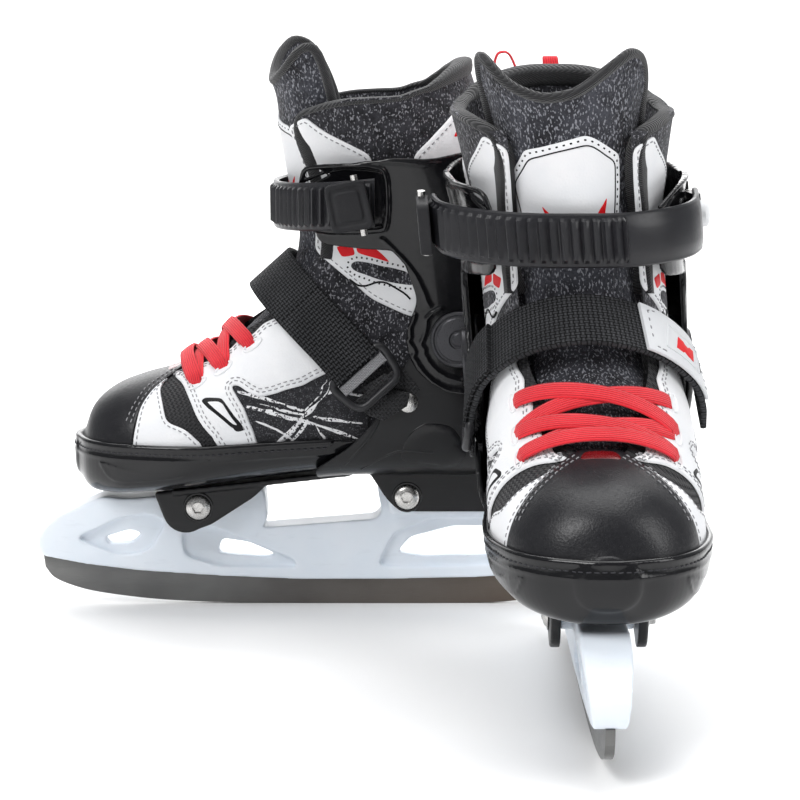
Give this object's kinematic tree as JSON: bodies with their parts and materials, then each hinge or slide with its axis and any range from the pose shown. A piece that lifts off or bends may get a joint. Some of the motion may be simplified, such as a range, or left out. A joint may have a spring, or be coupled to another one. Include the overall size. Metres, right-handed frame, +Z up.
{
  "type": "ice skates",
  "caption": "Pair of children's ice skates: soft boot in a hard shell with sliding toe, hinged cuff, ratchet strap, instep webbing and steel runner on a plastic holder.",
  "frame": {"origin": "middle of the pair's footprint, on the surface that the runners stand on", "axes": "+Z up; the right skate points along -X and the left skate along -Y, as the pair stands at right angles"},
  "size_m": [0.3018, 0.3568, 0.267],
  "materials": {
    "runner_steel": "ground stainless steel, brushed lengthwise",
    "holder_plastic": "white moulded plastic with a pale blue cast",
    "shell_plastic": "satin black moulded plastic, fine grain",
    "cup_plastic": "glossy black moulded plastic",
    "cuff_plastic": "glossy black moulded plastic",
    "strap_plastic": "satin dark grey flexible plastic",
    "block_plastic": "satin dark grey plastic",
    "ring_plastic": "black plastic",
    "cap_white": "white gloss plastic",
    "bolt_steel": "nickel plated steel",
    "pivot_steel": "dark anodised cap",
    "toe_leather": "smooth black synthetic leather with white and mesh panels",
    "boot_fabric": "white synthetic leather panels, charcoal felt and black knit lining",
    "tongue_mesh": "black and grey three-dimensional mesh",
    "insole_felt": "black felt",
    "webbing": "black woven webbing",
    "tab_rubber": "white moulded rubber",
    "lace_fabric": "coral red woven flat lace"
  },
  "bodies": {
    "skates": {"right_runner": "runner_steel", "right_blade_holder": "holder_plastic", "right_base_shell": "shell_plastic", "right_front_bolt": "bolt_steel", "right_front_nut": "bolt_steel", "right_rear_bolt": "bolt_steel", "right_rear_nut": "bolt_steel", "right_inner_pivot": "pivot_steel", "right_outer_pivot": "pivot_steel", "right_boot_lower": "boot_fabric", "right_tongue_lower": "tongue_mesh", "right_insole": "insole_felt", "right_instep_webbing": "webbing", "right_webbing_ring": "ring_plastic", "right_webbing_tab": "tab_rubber", "left_runner": "runner_steel", "left_blade_holder": "holder_plastic", "left_base_shell": "shell_plastic", "left_front_bolt": "bolt_steel", "left_front_nut": "bolt_steel", "left_rear_bolt": "bolt_steel", "left_rear_nut": "bolt_steel", "left_inner_pivot": "pivot_steel", "left_outer_pivot": "pivot_steel", "left_boot_lower": "boot_fabric", "left_tongue_lower": "tongue_mesh", "left_insole": "insole_felt", "left_instep_webbing": "webbing", "left_webbing_ring": "ring_plastic", "left_webbing_tab": "tab_rubber"},
    "right_toe": {"right_toe_cup": "cup_plastic", "right_boot_toe": "toe_leather", "right_laces": "lace_fabric"},
    "right_cuff": {"right_cuff": "cuff_plastic", "right_boot_collar": "boot_fabric", "right_tongue_upper": "tongue_mesh", "right_strap_base": "cuff_plastic", "right_strap_pin": "bolt_steel", "right_strap_base_cap": "cap_white", "right_block_pin": "bolt_steel"},
    "right_strap": {"right_ratchet_strap": "strap_plastic"},
    "right_block": {"right_ratchet_block": "block_plastic"},
    "right_button": {"right_size_button": "shell_plastic"},
    "left_toe": {"left_toe_cup": "cup_plastic", "left_boot_toe": "toe_leather", "left_laces": "lace_fabric"},
    "left_cuff": {"left_cuff": "cuff_plastic", "left_boot_collar": "boot_fabric", "left_tongue_upper": "tongue_mesh", "left_strap_base": "cuff_plastic", "left_strap_pin": "bolt_steel", "left_strap_base_cap": "cap_white", "left_block_pin": "bolt_steel"},
    "left_strap": {"left_ratchet_strap": "strap_plastic"},
    "left_block": {"left_ratchet_block": "block_plastic"},
    "left_button": {"left_size_button": "shell_plastic"}
  },
  "joints": [
    {"name": "right_cuff_hinge", "type": "hinge", "parent": "skates", "child": "right_cuff", "pos_m": [0.0487, 0.1272, 0.1345], "axis": [0, -1, 0], "range_deg": [-2, 10]},
    {"name": "right_toe_slide", "type": "slide", "parent": "skates", "child": "right_toe", "axis": [-0.9937, 0, -0.1118], "range_m": [0, 0.02]},
    {"name": "right_strap_hinge", "type": "hinge", "parent": "right_cuff", "child": "right_strap", "pos_m": [0.0247, 0.17249, 0.1996], "axis": [0, 0.0896, -0.996], "range_deg": [0, 70]},
    {"name": "right_block_press", "type": "hinge", "parent": "right_cuff", "child": "right_block", "pos_m": [0.0037, 0.05936, 0.1975], "axis": [-0.1799, -0.0882, 0.9797], "range_deg": [0, 4], "stiffness_Nm_per_rad": 0.15},
    {"name": "right_button_press", "type": "slide", "parent": "skates", "child": "right_button", "axis": [0, -1, 0], "range_m": [0, 0.002], "stiffness_N_per_m": 600},
    {"name": "left_cuff_hinge", "type": "hinge", "parent": "skates", "child": "left_cuff", "pos_m": [0.0997, 0.0212, 0.1345], "axis": [1, 0, 0], "range_deg": [-2, 10]},
    {"name": "left_toe_slide", "type": "slide", "parent": "skates", "child": "left_toe", "axis": [0, -0.9937, -0.1118], "range_m": [0, 0.02]},
    {"name": "left_strap_hinge", "type": "hinge", "parent": "left_cuff", "child": "left_strap", "pos_m": [0.14499, -0.0028, 0.1996], "axis": [-0.0896, 0, 0.996], "range_deg": [0, 70]},
    {"name": "left_block_press", "type": "hinge", "parent": "left_cuff", "child": "left_block", "pos_m": [0.03186, -0.0238, 0.1975], "axis": [0.0882, 0.1799, -0.9797], "range_deg": [0, 4], "stiffness_Nm_per_rad": 0.15},
    {"name": "left_button_press", "type": "slide", "parent": "skates", "child": "left_button", "axis": [-1, 0, 0], "range_m": [0, 0.002], "stiffness_N_per_m": 600}
  ]
}
